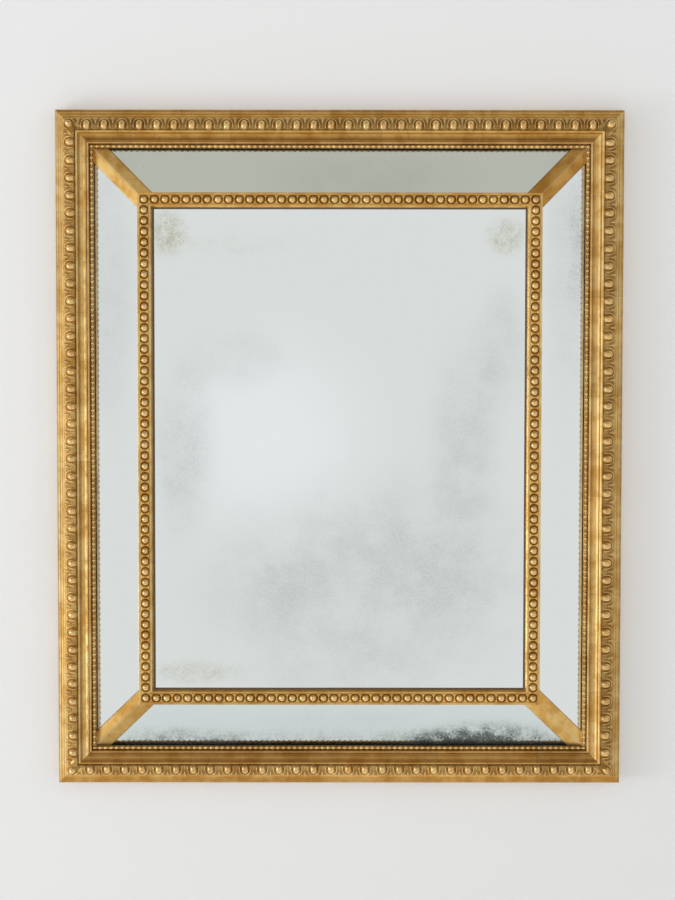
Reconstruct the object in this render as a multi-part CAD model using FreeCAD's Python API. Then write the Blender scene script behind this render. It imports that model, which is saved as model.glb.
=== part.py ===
import FreeCAD
import Part
import math
import os

# Cushion mirror: a raised flat plate stands inside four margin plates that slope down to a gilt outer frame.
# X is to the right, the front faces -Y and Z is up. The origin is the middle of the flush back.
# Every side is drawn as the bottom one: s runs along it, u inward from its outer edge, v forward of the back.

# Overall size in millimetres and degrees
frame_width = 920.0
frame_height = 1100.0
margin_width = 71.0
margin_pitch = 17.0

# Outer rail, from its outer side to the lip over the margin plates
side_height = 26.5
edge_run = 4.6
edge_rise = 4.5
edge_bulge = 0.9
cavetto_run = 8.4
cavetto_rise = 4.0
cavetto_sag = 1.2
egg_bed_run = 20.5
egg_bed_rise = 10.0
nosing_step = 1.6
nosing_run = 4.1
nosing_fall = 1.6
nosing_bulge = 0.6
quirk_step = 0.6
hollow_run = 12.0
hollow_fall = 0.8
hollow_sag = 3.8
arris_run = 0.8
reed_step = 1.4
reed_run = 4.8
reed_fall = 2.4
reed_bulge = 1.6
cove_run = 0.8
cove_fall = 4.6
cove_sag = 0.4
pearl_bed_run = 6.0
lip_thickness = 8.0
plate_cover = 7.0
panel_cover = 9.0

# Cast ornament on the outer rail
egg_pitch = 28.3
egg_width = 15.0
egg_length = 17.5
egg_rise = 5.6
egg_crown = 0.5
dart_width = 5.0
dart_rise = 3.6
egg_strip_thickness = 3.0
corner_leaf_width = 9.0
corner_leaf_rise = 5.0
sight_bead_width = 5.8
sight_bead_foot = 0.8

# Plates, boards and battens
plate_thickness = 4.0
board_thickness = 6.0
panel_thickness = 8.0
panel_board_count = 5
panel_board_gap = 0.6
rib_thickness = 18.0
rib_spacing = 300.0
riser_width = 17.0
hip_gap = 0.5

# Ridge bars over the hips
ridge_half_width = 17.0
ridge_thickness = 4.0

# Inner frame and its pearls
inner_wall_rise = 5.5
inner_fillet = 4.0
inner_bed_run = 14.0
inner_bed_drop = 2.0
inner_lip_run = 3.5
inner_lip_rise = 1.5
sight_slope_run = 6.0
centre_drop = 1.5
pearl_pitch = 17.4
pearl_width = 12.3
pearl_rise = 5.0
pearl_shoulder_rise = 3.4
pearl_shoulder = 0.7
pearl_facets = 6
pearl_strip_width = 13.6
pearl_strip_thickness = 1.5

# Corner keys in the outer mitres
key_leg = 40.0
key_thickness = 4.0
key_height = 12.0

# Hanging rings at the back of the stiles
hanger_inset = 38.0
hanger_drop = 130.0
strap_width = 16.0
strap_length = 34.0
strap_thickness = 3.0
ring_wire = 2.0
ring_clearance = 0.08
ring_wall = 1.5
ring_corner = 5.0
ring_side_gap = 0.6
ring_straight = 5.0
screw_shank = 1.8
screw_head = 3.6
screw_head_height = 1.6
screw_length = 16.0
screw_first = 12.0
screw_step = 14.0
wire_facets = 12
corner_facets = 3
bow_facets = 12

# Clearances
seat_gap = 0.1
slot_gap = 0.5

Vector = FreeCAD.Vector
pitch_slope = math.tan(math.radians(margin_pitch))
pitch_cosine = math.cos(math.radians(margin_pitch))

# Stations of the outer rail
egg_bed_start = edge_run + cavetto_run
egg_bed_end = egg_bed_start + egg_bed_run
nosing_end = egg_bed_end + nosing_run
hollow_end = nosing_end + hollow_run
arris_end = hollow_end + arris_run
reed_end = arris_end + reed_run
pearl_bed_start = reed_end + cove_run
rail_width = pearl_bed_start + pearl_bed_run
edge_height = side_height + edge_rise
egg_bed_low = edge_height + cavetto_rise
egg_bed_high = egg_bed_low + egg_bed_rise
nosing_high = egg_bed_high - nosing_step
nosing_low = nosing_high - nosing_fall
hollow_high = nosing_low - quirk_step
hollow_low = hollow_high - hollow_fall
reed_high = hollow_low - reed_step
reed_low = reed_high - reed_fall
pearl_bed = reed_low - cove_fall
lip_height = pearl_bed - lip_thickness
rail_wall = rail_width - plate_cover
panel_edge = rail_wall - panel_cover

# Stations of the inner frame
inner_start = rail_width + margin_width
plate_end = inner_start + plate_cover - slot_gap
inner_wall = inner_start + plate_cover
inner_bed_start = inner_start + inner_fillet
inner_bed_end = inner_bed_start + inner_bed_run
inner_lip_end = inner_bed_end + inner_lip_run
inner_sight = inner_lip_end + sight_slope_run
centre_edge = inner_sight - plate_cover
inner_base = lip_height + margin_width * pitch_slope
inner_bed = inner_base + inner_wall_rise - inner_bed_drop
centre_front = inner_base - centre_drop
centre_back = centre_front - plate_thickness
riser_top = centre_back - board_thickness - 2 * seat_gap
riser_start = inner_wall + slot_gap
riser_end = riser_start + riser_width

sides = (
    ("bottom", frame_width / 2, frame_height / 2, 0),
    ("right", frame_height / 2, frame_width / 2, 1),
    ("top", frame_width / 2, frame_height / 2, 2),
    ("left", frame_height / 2, frame_width / 2, 3),
)
corners = ("bottom_right", "top_right", "top_left", "bottom_left")


def plate_front(inward):
    return lip_height + (inward - rail_width) * pitch_slope


def spot(along, inward, forward):
    return Vector(along, -forward, inward)


def bulged(start, end, rise):
    # Middle of an arc from start to end that stands off its chord by rise, forward when positive.
    run = end[0] - start[0]
    climb = end[1] - start[1]
    chord = math.hypot(run, climb)
    middle = ((start[0] + end[0]) / 2, (start[1] + end[1]) / 2)
    return (middle[0] - rise * climb / chord, middle[1] + rise * run / chord)


def section(start, *steps):
    # A step is the end of a line, or the middle and the end of an arc, as pairs of u and v.
    edges = []
    here = spot(0, *start)
    for step in steps + ((start,),):
        there = spot(0, *step[-1])
        if len(step) == 1:
            edges.append(Part.LineSegment(here, there).toShape())
        else:
            edges.append(Part.Arc(here, spot(0, *step[0]), there).toShape())
        here = there
    return Part.Face(Part.Wire(edges))


def extruded(face, half_length):
    face.translate(Vector(-half_length, 0, 0))
    return face.extrude(Vector(2 * half_length, 0, 0))


def plan_prism(points, low, high):
    # Prism over a plan outline of s and u pairs, from one height to another.
    outline = [spot(along, inward, low) for along, inward in points]
    face = Part.Face(Part.makePolygon(outline + outline[:1]))
    return face.extrude(Vector(0, low - high, 0))


def mitred(solid, half_length, gap=0.0):
    # Both ends are cut at 45 degrees in plan, short of the corner diagonal by the gap along the side.
    deep = riser_end + riser_width
    outline = (
        (gap - half_length, 0),
        (half_length - gap, 0),
        (half_length - gap - deep, deep),
        (gap + deep - half_length, deep),
    )
    return solid.common(plan_prism(outline, -frame_width, frame_width))


def placed(shape, reach, turns):
    # Puts what was drawn as the bottom side on its own side of the frame.
    moved = shape.copy()
    moved.translate(Vector(0, 0, -reach))
    moved.rotate(Vector(0, 0, 0), Vector(0, 1, 0), -90 * turns)
    return moved


def dome(outline, centre, foot, levels):
    # Faceted boss: the outline of s and u pairs shrinks towards the centre, level by level.
    # A last share of nil ends it in a point.
    rings = []
    for share, height in ((1.0, foot),) + tuple(levels):
        ring = []
        for along, inward in outline:
            shrunk_along = centre[0] + share * (along - centre[0])
            shrunk_inward = centre[1] + share * (inward - centre[1])
            ring.append(spot(shrunk_along, shrunk_inward, height))
        rings.append(ring)
    count = len(outline)
    walls = []
    for lower, upper in zip(rings, rings[1:]):
        for here in range(count):
            there = (here + 1) % count
            walls.append([lower[here], lower[there], upper[there], upper[here]])
    if levels[-1][0] > 0:
        walls.append(rings[-1])
    faces = []
    for wall in walls + [rings[0]]:
        corners_of_face = [point for index, point in enumerate(wall) if point not in wall[:index]]
        faces.append(Part.Face(Part.makePolygon(corners_of_face + corners_of_face[:1])))
    solid = Part.Solid(Part.Shell(faces))
    if solid.Volume < 0:
        solid.reverse()
    return solid


def faceted_rod(radius, length, start, direction):
    # Many-sided rod with its corners on the radius, for screws and their holes.
    across = Vector(1, 0, 0)
    up = direction.cross(across)
    corners_of_face = []
    for index in range(wire_facets):
        turn = math.tau * index / wire_facets
        corners_of_face.append(start + across * (radius * math.cos(turn)) + up * (radius * math.sin(turn)))
    return Part.Face(Part.makePolygon(corners_of_face + corners_of_face[:1])).extrude(direction * length)


def arc_points(centre, radius, first, last, facets):
    # Points on an arc in degrees, with both of its ends.
    points = []
    for index in range(facets + 1):
        turn = math.radians(first + (last - first) * index / facets)
        points.append((centre[0] + radius * math.cos(turn), centre[1] + radius * math.sin(turn)))
    return points


def spread(span, pitch):
    # Even places along a span about the middle, as near to the pitch as a whole number allows.
    count = max(1, round(span / pitch))
    step = span / count
    return [step * (index + 0.5) - span / 2 for index in range(count)], step


def outer_rail(half_length, turns):
    nosing_from = (egg_bed_end, nosing_high)
    nosing_to = (nosing_end, nosing_low)
    hollow_from = (nosing_end, hollow_high)
    hollow_to = (hollow_end, hollow_low)
    reed_from = (arris_end, reed_high)
    reed_to = (reed_end, reed_low)
    side_top = (0, side_height)
    cavetto_from = (edge_run, edge_height)
    cavetto_to = (egg_bed_start, egg_bed_low)
    cove_to = (pearl_bed_start, pearl_bed)
    face = section(
        (0, 0),
        (side_top,),
        (bulged(side_top, cavetto_from, edge_bulge), cavetto_from),
        (bulged(cavetto_from, cavetto_to, -cavetto_sag), cavetto_to),
        ((egg_bed_end, egg_bed_high),),
        (nosing_from,),
        (bulged(nosing_from, nosing_to, nosing_bulge), nosing_to),
        (hollow_from,),
        (bulged(hollow_from, hollow_to, -hollow_sag), hollow_to),
        ((arris_end, hollow_low),),
        (reed_from,),
        (bulged(reed_from, reed_to, reed_bulge), reed_to),
        (bulged(reed_to, cove_to, -cove_sag), cove_to),
        ((rail_width, pearl_bed),),
        ((rail_width, lip_height),),
        ((rail_wall, plate_front(rail_wall)),),
        ((rail_wall, panel_thickness),),
        ((panel_edge, panel_thickness),),
        ((panel_edge, 0),),
    )
    rail = mitred(extruded(face, half_length), half_length)
    rail = rail.cut([key_prism(half_length, hand, 0) for hand in (-1, 1)])
    if turns in (1, 3):
        rail = rail.cut([screw_hole(half_length, turns, drop) for drop in screw_drops()])
    return rail


def key_prism(half_length, hand, gap):
    # Triangular feather key across a mitre, drawn from the corner with legs along both outer edges.
    leg = key_leg - gap
    corner = half_length
    outline = [(corner, 0), (corner - leg, 0), (corner, leg)]
    outline = [(hand * along, inward) for along, inward in outline]
    return plan_prism(outline, key_height + gap, key_height + key_thickness - gap)


def screw_drops():
    return (screw_first, screw_first + screw_step)


def screw_place(half_length, turns, drop):
    # The right side runs up and the left side runs down, so height changes sign between them.
    height = half_length - hanger_drop - drop
    return height if turns == 1 else -height


def screw_hole(half_length, turns, drop):
    along = screw_place(half_length, turns, drop)
    depth = screw_length - strap_thickness
    return faceted_rod(screw_shank, depth, spot(along, hanger_inset, 0), Vector(0, -1, 0))


def egg_strip(half_length):
    # Egg and dart on a slab that lies on the sloping bed, with half a leaf at each mitre.
    slant = math.atan2(egg_bed_rise, egg_bed_run)
    slab_run = math.hypot(egg_bed_run, egg_bed_rise)
    top = egg_strip_thickness
    slab = extruded(section((0, 0), ((0, top),), ((slab_run, top),), ((slab_run, 0),)), half_length)
    tip_radius = egg_width / 2
    tip_centre = slab_run - egg_length + tip_radius
    lean = tip_radius * math.sqrt(0.5)
    half_egg = [(tip_radius, slab_run), (tip_radius, tip_centre), (lean, tip_centre - lean)]
    mirrored = [(-along, inward) for along, inward in reversed(half_egg)]
    egg_outline = half_egg + [(0, tip_centre - tip_radius)] + mirrored
    half_dart = dart_width / 2
    dart_end = slab_run - half_dart
    dart_outline = ((half_dart, dart_end), (0, slab_run - egg_length), (-half_dart, dart_end))
    dart_middle = slab_run - egg_length / 2
    egg_foot = top / 2
    clear_span = 2 * (half_length - egg_bed_end)
    places, step = spread(clear_span, egg_pitch)
    bosses = []
    for place in places:
        outline = [(place + along, inward) for along, inward in egg_outline]
        bosses.append(dome(outline, (place, slab_run), egg_foot, ((1.0, top), (egg_crown, top + egg_rise))))
    for place in places[1:]:
        middle = place - step / 2
        outline = [(middle + along, inward) for along, inward in dart_outline]
        crown = ((1.0, top), (egg_crown / 2, top + dart_rise))
        bosses.append(dome(outline, (middle, dart_middle), egg_foot, crown))
    leaf_reach = half_length - egg_bed_start
    for hand in (-1, 1):
        leaf = (
            (hand * leaf_reach, 0),
            (hand * (leaf_reach - slab_run), slab_run),
            (hand * (leaf_reach - slab_run - corner_leaf_width), slab_run),
            (hand * (leaf_reach - slab_run / 2 - corner_leaf_width), slab_run / 2),
        )
        bosses.append(dome(leaf, leaf[1], egg_foot, ((1.0, top), (egg_crown, top + corner_leaf_rise))))
    strip = slab.multiFuse(bosses).removeSplitter()
    strip.rotate(Vector(0, 0, 0), Vector(1, 0, 0), math.degrees(slant))
    strip.translate(spot(0, egg_bed_start, egg_bed_low))
    return mitred(strip, half_length)


def sight_bead(half_length):
    # Half-round bead at the sight edge, on a low foot.
    start = rail_width - sight_bead_width
    foot = pearl_bed + sight_bead_foot
    crown = foot + sight_bead_width / 2
    middle = (start + rail_width) / 2
    face = section(
        (start, pearl_bed),
        ((start, foot),),
        ((middle, crown), (rail_width, foot)),
        ((rail_width, pearl_bed),),
    )
    return mitred(extruded(face, half_length), half_length)


def sloped_board(half_length, depth, thickness):
    # A plate or board under the sloping margin, its front a given depth behind the line of the lip.
    drop = thickness / pitch_cosine
    outer = rail_wall + slot_gap
    high_outer = plate_front(outer) - depth
    high_inner = plate_front(plate_end) - depth
    face = section(
        (outer, high_outer),
        ((plate_end, high_inner),),
        ((plate_end, high_inner - drop),),
        ((outer, high_outer - drop),),
    )
    return mitred(extruded(face, half_length), half_length, hip_gap)


margin_board_depth = 2 * seat_gap + plate_thickness / pitch_cosine
margin_board_under = margin_board_depth + board_thickness / pitch_cosine + seat_gap


def cushion_ribs(half_length):
    # Upright wedges on the back panel that carry the sloping boards.
    outer = rail_wall + slot_gap
    face_points = (
        (outer, panel_thickness),
        ((outer, plate_front(outer) - margin_board_under),),
        ((plate_end, plate_front(plate_end) - margin_board_under),),
        ((plate_end, panel_thickness),),
    )
    places, step = spread(2 * (half_length - plate_end), rib_spacing)
    ribs = []
    for place in places:
        rib = extruded(section(*face_points), rib_thickness / 2)
        rib.translate(Vector(place, 0, 0))
        ribs.append(rib)
    return Part.makeCompound(ribs)


def ridge_bar(side, next_side):
    # Two flat facets, one on each margin plate, meet in a crisp arris over the hip.
    spread_along = ridge_half_width * math.sqrt(2)
    outer = rail_width + seat_gap
    inner = inner_start - seat_gap
    halves = []
    for (name, half_length, reach, turns), hand in ((side, 1), (next_side, -1)):
        outline = ((outer, outer), (outer + spread_along, outer), (inner + spread_along, inner), (inner, inner))
        corners_of_face = []
        for from_corner, inward in outline:
            along = hand * (half_length - from_corner)
            corners_of_face.append(spot(along, inward, plate_front(inward)))
        face = Part.Face(Part.makePolygon(corners_of_face + corners_of_face[:1]))
        halves.append(placed(face.extrude(Vector(0, -ridge_thickness, 0)), reach, turns))
    return halves[0].fuse(halves[1]).removeSplitter()


def inner_rail(half_length):
    face = section(
        (inner_start, inner_base),
        ((inner_start, inner_base + inner_wall_rise),),
        ((inner_bed_start, inner_base + inner_wall_rise),),
        ((inner_bed_start, inner_bed),),
        ((inner_bed_end, inner_bed),),
        ((inner_bed_end, inner_bed + inner_lip_rise),),
        ((inner_lip_end, inner_bed + inner_lip_rise),),
        ((inner_sight, centre_front),),
        ((centre_edge, centre_front),),
        ((centre_edge, riser_top),),
        ((inner_wall, riser_top),),
        ((inner_wall, plate_front(inner_wall)),),
    )
    return mitred(extruded(face, half_length), half_length)


def pearl_strip(half_length):
    # Faceted pearls on a thin strip that fills the inner frame's bed.
    middle = (inner_bed_start + inner_bed_end) / 2
    start = middle - pearl_strip_width / 2
    end = middle + pearl_strip_width / 2
    top = inner_bed + pearl_strip_thickness
    face = section((start, inner_bed), ((start, top),), ((end, top),), ((end, inner_bed),))
    slab = extruded(face, half_length)
    corner_place = half_length - middle
    places, step = spread(2 * corner_place, pearl_pitch)
    radius = pearl_width / 2
    foot = inner_bed + pearl_strip_thickness / 2
    turns = [math.tau * (index + 0.5) / pearl_facets for index in range(pearl_facets)]
    crowns = ((1.0, top), (pearl_shoulder, top + pearl_shoulder_rise), (0.0, top + pearl_rise))
    pearls = []
    for place in [-corner_place] + [place + step / 2 for place in places]:
        outline = [(place + radius * math.cos(turn), middle + radius * math.sin(turn)) for turn in turns]
        pearls.append(dome(outline, (place, middle), foot, crowns))
    return mitred(slab.multiFuse(pearls).removeSplitter(), half_length)


def riser(half_length):
    face = section(
        (riser_start, panel_thickness),
        ((riser_start, riser_top),),
        ((riser_end, riser_top),),
        ((riser_end, panel_thickness),),
    )
    return mitred(extruded(face, half_length), half_length)


def centre_sheet(front, back):
    # A flat plate or board behind the inner frame's lip.
    edge = centre_edge + slot_gap
    half_across = frame_width / 2 - edge
    half_up = frame_height / 2 - edge
    corner = Vector(-half_across, -front, -half_up)
    return Part.makeBox(2 * half_across, front - back, 2 * half_up, corner)


def panel_boards():
    # Upright boards side by side, flush with the backs of the rails.
    edge = panel_edge + slot_gap
    across = frame_width - 2 * edge
    up = frame_height - 2 * edge
    width = (across - (panel_board_count - 1) * panel_board_gap) / panel_board_count
    boards = []
    for index in range(panel_board_count):
        left = -across / 2 + index * (width + panel_board_gap)
        boards.append(Part.makeBox(width, panel_thickness, up, Vector(left, -panel_thickness, -up / 2)))
    return boards


ring_bore = ring_wire + ring_clearance
ring_axis = ring_bore + ring_wall
hanger_height = frame_height / 2 - hanger_drop


def hanger_strap(across):
    # Folded steel strap: its loop holds the ring's straight bar and its legs lie on the stile.
    axis_point = Vector(across - strap_width / 2, ring_axis, hanger_height)
    sideways = Vector(1, 0, 0)
    loop = Part.makeCylinder(ring_axis, strap_width, axis_point, sideways)
    leg_corner = Vector(across - strap_width / 2, 0, hanger_height - strap_length)
    leg = Part.makeBox(strap_width, strap_thickness, strap_length, leg_corner)
    bore = Part.makeCylinder(ring_bore, strap_width, axis_point, sideways)
    holes = []
    for drop in screw_drops():
        hole_point = Vector(across, 0, hanger_height - drop)
        holes.append(faceted_rod(screw_shank, strap_thickness, hole_point, Vector(0, 1, 0)))
    return loop.fuse(leg).cut([bore] + holes).removeSplitter()


def hanger_ring(across):
    # D-shaped wire ring that stands up from its bar, swept round a closed path.
    bar_half = strap_width / 2 + ring_side_gap
    half_width = bar_half + ring_corner
    bow_low = ring_corner + ring_straight
    path = [(0, 0)]
    path += arc_points((bar_half, ring_corner), ring_corner, -90, 0, corner_facets)
    path += arc_points((0, bow_low), half_width, 0, 180, bow_facets)
    path += arc_points((-bar_half, ring_corner), ring_corner, 180, 270, corner_facets)
    points = [Vector(across + sideways, ring_axis, hanger_height + up) for sideways, up in path]
    wire_outline = []
    for index in range(wire_facets):
        turn = math.tau * index / wire_facets
        wire_outline.append(points[0] + Vector(0, ring_wire * math.cos(turn), ring_wire * math.sin(turn)))
    outline = Part.makePolygon(wire_outline + wire_outline[:1])
    mitred_corners = 1
    return Part.makePolygon(points + points[:1]).makePipeShell([outline], True, False, mitred_corners)


def hanger_screws():
    # Domed screws through the straps into the stiles.
    screws = []
    for hand in (-1, 1):
        across = hand * (frame_width / 2 - hanger_inset)
        for drop in screw_drops():
            seat = Vector(across, strap_thickness, hanger_height - drop)
            shank = faceted_rod(screw_shank - seat_gap, screw_length - seat_gap, seat, Vector(0, -1, 0))
            head = faceted_rod(screw_head, screw_head_height, seat, Vector(0, 1, 0))
            screws.append(shank.fuse(head))
    return Part.makeCompound(screws)


def mitre_keys():
    keys = []
    for name, half_length, reach, turns in sides:
        keys.append(placed(key_prism(half_length, 1, seat_gap), reach, turns))
    return Part.makeCompound(keys)


def build():
    nodes = {}
    ribs = []
    for index, side in enumerate(sides):
        name, half_length, reach, turns = side
        drawn = {
            "outer_rail": outer_rail(half_length, turns),
            "egg_strip": egg_strip(half_length),
            "sight_bead": sight_bead(half_length),
            "margin_plate": sloped_board(half_length, seat_gap, plate_thickness),
            "margin_board": sloped_board(half_length, margin_board_depth, board_thickness),
            "inner_rail": inner_rail(half_length),
            "pearl_strip": pearl_strip(half_length),
            "riser": riser(half_length),
        }
        for piece, shape in drawn.items():
            nodes[piece + "_" + name] = placed(shape, reach, turns)
        ribs += placed(cushion_ribs(half_length), reach, turns).Solids
        nodes["ridge_bar_" + corners[index]] = ridge_bar(side, sides[(index + 1) % len(sides)])
    nodes["cushion_ribs"] = Part.makeCompound(ribs)
    nodes["mitre_keys"] = mitre_keys()
    nodes["centre_plate"] = centre_sheet(centre_front - seat_gap, centre_back)
    nodes["centre_board"] = centre_sheet(centre_back - seat_gap, riser_top + seat_gap)
    for index, board in enumerate(panel_boards()):
        nodes["back_board_" + str(index + 1)] = board
    for name, hand in (("left", -1), ("right", 1)):
        across = hand * (frame_width / 2 - hanger_inset)
        nodes["hanger_strap_" + name] = hanger_strap(across)
        nodes["hanger_ring_" + name] = hanger_ring(across)
    nodes["hanger_screws"] = hanger_screws()
    return nodes


os.makedirs("parts", exist_ok=True)
for node, shape in build().items():
    shape.exportStep("parts/" + node + ".step")
    print(node, len(shape.Solids), "solids", round(shape.Volume / 1000, 1), "cm3")
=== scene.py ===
import math
import bpy
import numpy as np
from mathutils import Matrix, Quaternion, Vector


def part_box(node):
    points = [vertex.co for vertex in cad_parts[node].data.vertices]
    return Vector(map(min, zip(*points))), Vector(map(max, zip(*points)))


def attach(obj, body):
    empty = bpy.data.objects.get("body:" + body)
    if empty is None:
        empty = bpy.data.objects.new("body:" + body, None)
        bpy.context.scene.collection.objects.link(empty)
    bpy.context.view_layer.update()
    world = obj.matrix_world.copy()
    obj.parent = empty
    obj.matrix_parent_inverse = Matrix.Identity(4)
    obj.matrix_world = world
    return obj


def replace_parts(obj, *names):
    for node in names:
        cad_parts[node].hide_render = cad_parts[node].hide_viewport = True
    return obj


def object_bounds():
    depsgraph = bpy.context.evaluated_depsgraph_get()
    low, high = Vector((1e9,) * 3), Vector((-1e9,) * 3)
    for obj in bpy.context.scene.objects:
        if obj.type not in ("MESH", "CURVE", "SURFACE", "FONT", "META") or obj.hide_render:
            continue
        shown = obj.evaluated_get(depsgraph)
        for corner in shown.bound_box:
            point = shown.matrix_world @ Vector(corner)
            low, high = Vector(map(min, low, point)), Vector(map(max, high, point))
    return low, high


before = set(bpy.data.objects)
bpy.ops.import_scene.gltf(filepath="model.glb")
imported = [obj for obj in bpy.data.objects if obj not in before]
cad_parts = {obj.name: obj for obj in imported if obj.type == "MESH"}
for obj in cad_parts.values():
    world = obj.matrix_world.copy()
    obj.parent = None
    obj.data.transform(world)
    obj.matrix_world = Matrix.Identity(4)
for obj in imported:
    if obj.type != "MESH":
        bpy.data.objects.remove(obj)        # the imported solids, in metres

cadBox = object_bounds()
mm = 0.001
rng = np.random.default_rng(41)

# Overall places, read from the frame. Each side is worked out as the bottom one:
# s runs along it, u inward from its outer edge, v forward of the back.
railLow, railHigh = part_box("outer_rail_bottom")
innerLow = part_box("inner_rail_bottom")[0]
halfWidth = railHigh.x
halfHeight = -railLow.z
railWidth = railHigh.z - railLow.z
innerStart = innerLow.z - railLow.z
sides = {
    "bottom": dict(halfLength=halfWidth, reach=halfHeight, turns=0),
    "right": dict(halfLength=halfHeight, reach=halfWidth, turns=1),
    "top": dict(halfLength=halfWidth, reach=halfHeight, turns=2),
    "left": dict(halfLength=halfHeight, reach=halfWidth, turns=3),
}


# Quarter turns about the forward axis put the bottom side's point (s, u, v) on its own side.
def toSide(s, u, v, side):
    x, y, z = np.broadcast_arrays(s, -np.asarray(v), np.asarray(u) - side["reach"])
    for turn in range(side["turns"]):
        x, z = -z, x
    return np.stack([x, y, z], -1)


# A mesh, lamp or camera becomes an object of the scene, at the origin.
def placed(name, data):
    piece = bpy.data.objects.new(name, data)
    bpy.context.scene.collection.objects.link(piece)
    return piece


# Four-sided faces of a grid of point numbers that closes across, and as a ring along it too.
def wrappedQuads(index, ring=False):
    index = np.concatenate([index, index[:, :1]], 1)
    index = np.concatenate([index, index[:1]]) if ring else index
    return np.stack([index[:-1, :-1], index[:-1, 1:], index[1:, 1:], index[1:, :-1]], -1).reshape(-1, 4)


# A grid of points becomes a closed mesh: rows run along the piece, columns round it, caps close both ends.
# The signed volume about its middle tells whether the faces look outward, and turns them if they don't.
def gridPiece(name, points, materials, values=None, colMaterial=None, sharp=None, ring=False):
    rows, cols = points.shape[:2]
    index = np.arange(rows * cols).reshape(rows, cols)
    quads = wrappedQuads(index, ring)
    flat = points.reshape(-1, 3) - points.reshape(-1, 3).mean(0)
    corner = flat[quads]
    volume = np.einsum("ij,ij->i", corner[:, 0], np.cross(corner[:, 1], corner[:, 2])).sum()
    volume += np.einsum("ij,ij->i", corner[:, 0], np.cross(corner[:, 2], corner[:, 3])).sum()
    ends = [] if ring else [index[0][::-1], index[-1]]
    if volume < 0:
        quads = quads[:, ::-1]
        ends = [end[::-1] for end in ends]
    loops = np.concatenate([quads.ravel()] + ends).astype(np.int32)
    totals = np.array([4] * len(quads) + [cols] * len(ends))
    mesh = bpy.data.meshes.new(name)
    mesh.vertices.add(rows * cols)
    mesh.vertices.foreach_set("co", points.astype(np.float32).ravel())
    mesh.loops.add(len(loops))
    mesh.loops.foreach_set("vertex_index", loops)
    mesh.polygons.add(len(totals))
    mesh.polygons.foreach_set("loop_start", (np.cumsum(totals) - totals).astype(np.int32))
    mesh.polygons.foreach_set("use_smooth", np.ones(len(totals), bool))
    for one in materials:
        mesh.materials.append(one)
    if colMaterial is not None:
        slots = np.concatenate([np.tile(colMaterial, rows - 1), np.zeros(len(ends), int)])
        mesh.polygons.foreach_set("material_index", slots.astype(np.int32))
    mesh.update(calc_edges=True)
    mesh.validate()
    if sharp:
        mesh.set_sharp_from_angle(angle=math.radians(sharp))
    for label, value in (values or {}).items():
        attribute = mesh.attributes.new(label, "FLOAT", "POINT")
        attribute.data.foreach_set("value", np.broadcast_to(value, (rows, cols)).astype(np.float32).ravel())
    return placed(name, mesh)


def smoothStep(low, high, value):
    share = np.clip((value - low) / (high - low), 0, 1)
    return share * share * (3 - 2 * share)


# Running mean along one axis, with the ends held.
def softened(field, reach, axis):
    padded = np.pad(field, [(reach, reach) if k == axis else (0, 0) for k in range(field.ndim)], "edge")
    total = np.cumsum(padded, axis)
    width = 2 * reach + 1
    first = np.take(total, [width - 1], axis)
    count = field.shape[axis]
    later = np.take(total, np.arange(width, width + count - 1), axis)
    later = later - np.take(total, np.arange(count - 1), axis)
    return np.concatenate([first, later], axis) / width


# An outline of corners and arcs, resampled evenly and softened, so that its arrises are slightly worn.
def wornProfile(corners, spacing, wear):
    path = np.array(corners)
    closed = np.concatenate([path, path[:1]])
    lengths = np.concatenate([[0], np.cumsum(np.linalg.norm(np.diff(closed, axis=0), axis=1))])
    count = int(lengths[-1] / spacing)
    marks = np.linspace(0, lengths[-1], count, endpoint=False)
    even = np.stack([np.interp(marks, lengths, closed[:, k]) for k in (0, 1)], -1)
    offsets = np.arange(-4, 5)
    weights = np.exp(-0.5 * (offsets * spacing / wear) ** 2)
    rolled = np.stack([np.roll(even, k, 0) for k in offsets])
    return np.tensordot(weights / weights.sum(), rolled, 1)


# Parabola from start to end that stands off its chord by rise.
def bowed(start, end, rise, count=9):
    start, end = np.array(start), np.array(end)
    share = np.linspace(0, 1, count)[:, None]
    chord = end - start
    across = np.array([-chord[1], chord[0]]) / np.linalg.norm(chord)
    return list(start + share * chord + 4 * rise * share * (1 - share) * across)


# Shader helpers. An input, by name or number, takes a value or a link from a socket.
def setInputs(tree, made, inputs):
    for key, value in inputs.items():
        if isinstance(value, bpy.types.NodeSocket):
            tree.links.new(value, made.inputs[key])
        else:
            made.inputs[key].default_value = value


def node(tree, kind, inputs=None, **settings):
    made = tree.nodes.new(kind)
    for key, value in settings.items():
        setattr(made, key, value)
    setInputs(tree, made, inputs or {})
    return made


def maths(tree, operation, first, second=0.0, third=0.0, clamp=False):
    inputs = {0: first, 1: second, 2: third}
    return node(tree, "ShaderNodeMath", inputs, operation=operation, use_clamp=clamp).outputs[0]


def times(tree, first, second, clamp=False):
    return maths(tree, "MULTIPLY", first, second, clamp=clamp)


def scaled(tree, value, factor, more):
    return maths(tree, "MULTIPLY_ADD", value, factor, more)


def ramp(tree, value, low, high, toLow=0.0, toHigh=1.0):
    inputs = {"Value": value, "From Min": low, "From Max": high, "To Min": toLow, "To Max": toHigh}
    return node(tree, "ShaderNodeMapRange", inputs, interpolation_type="SMOOTHSTEP").outputs[0]


def mixColour(tree, share, first, second, blend="MIX"):
    made = node(tree, "ShaderNodeMix", {0: share, 6: first, 7: second}, data_type="RGBA", blend_type=blend)
    return made.outputs[2]


def noise(tree, vector, scale, detail=3.0, rough=0.5):
    inputs = {"Vector": vector, "Scale": scale, "Detail": detail, "Roughness": rough}
    return node(tree, "ShaderNodeTexNoise", inputs).outputs[0]


def objectSpace(tree):
    return node(tree, "ShaderNodeTexCoord").outputs["Object"]


def stretched(tree, vector, scale):
    return node(tree, "ShaderNodeMapping", {"Vector": vector, "Scale": scale}).outputs[0]


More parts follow.
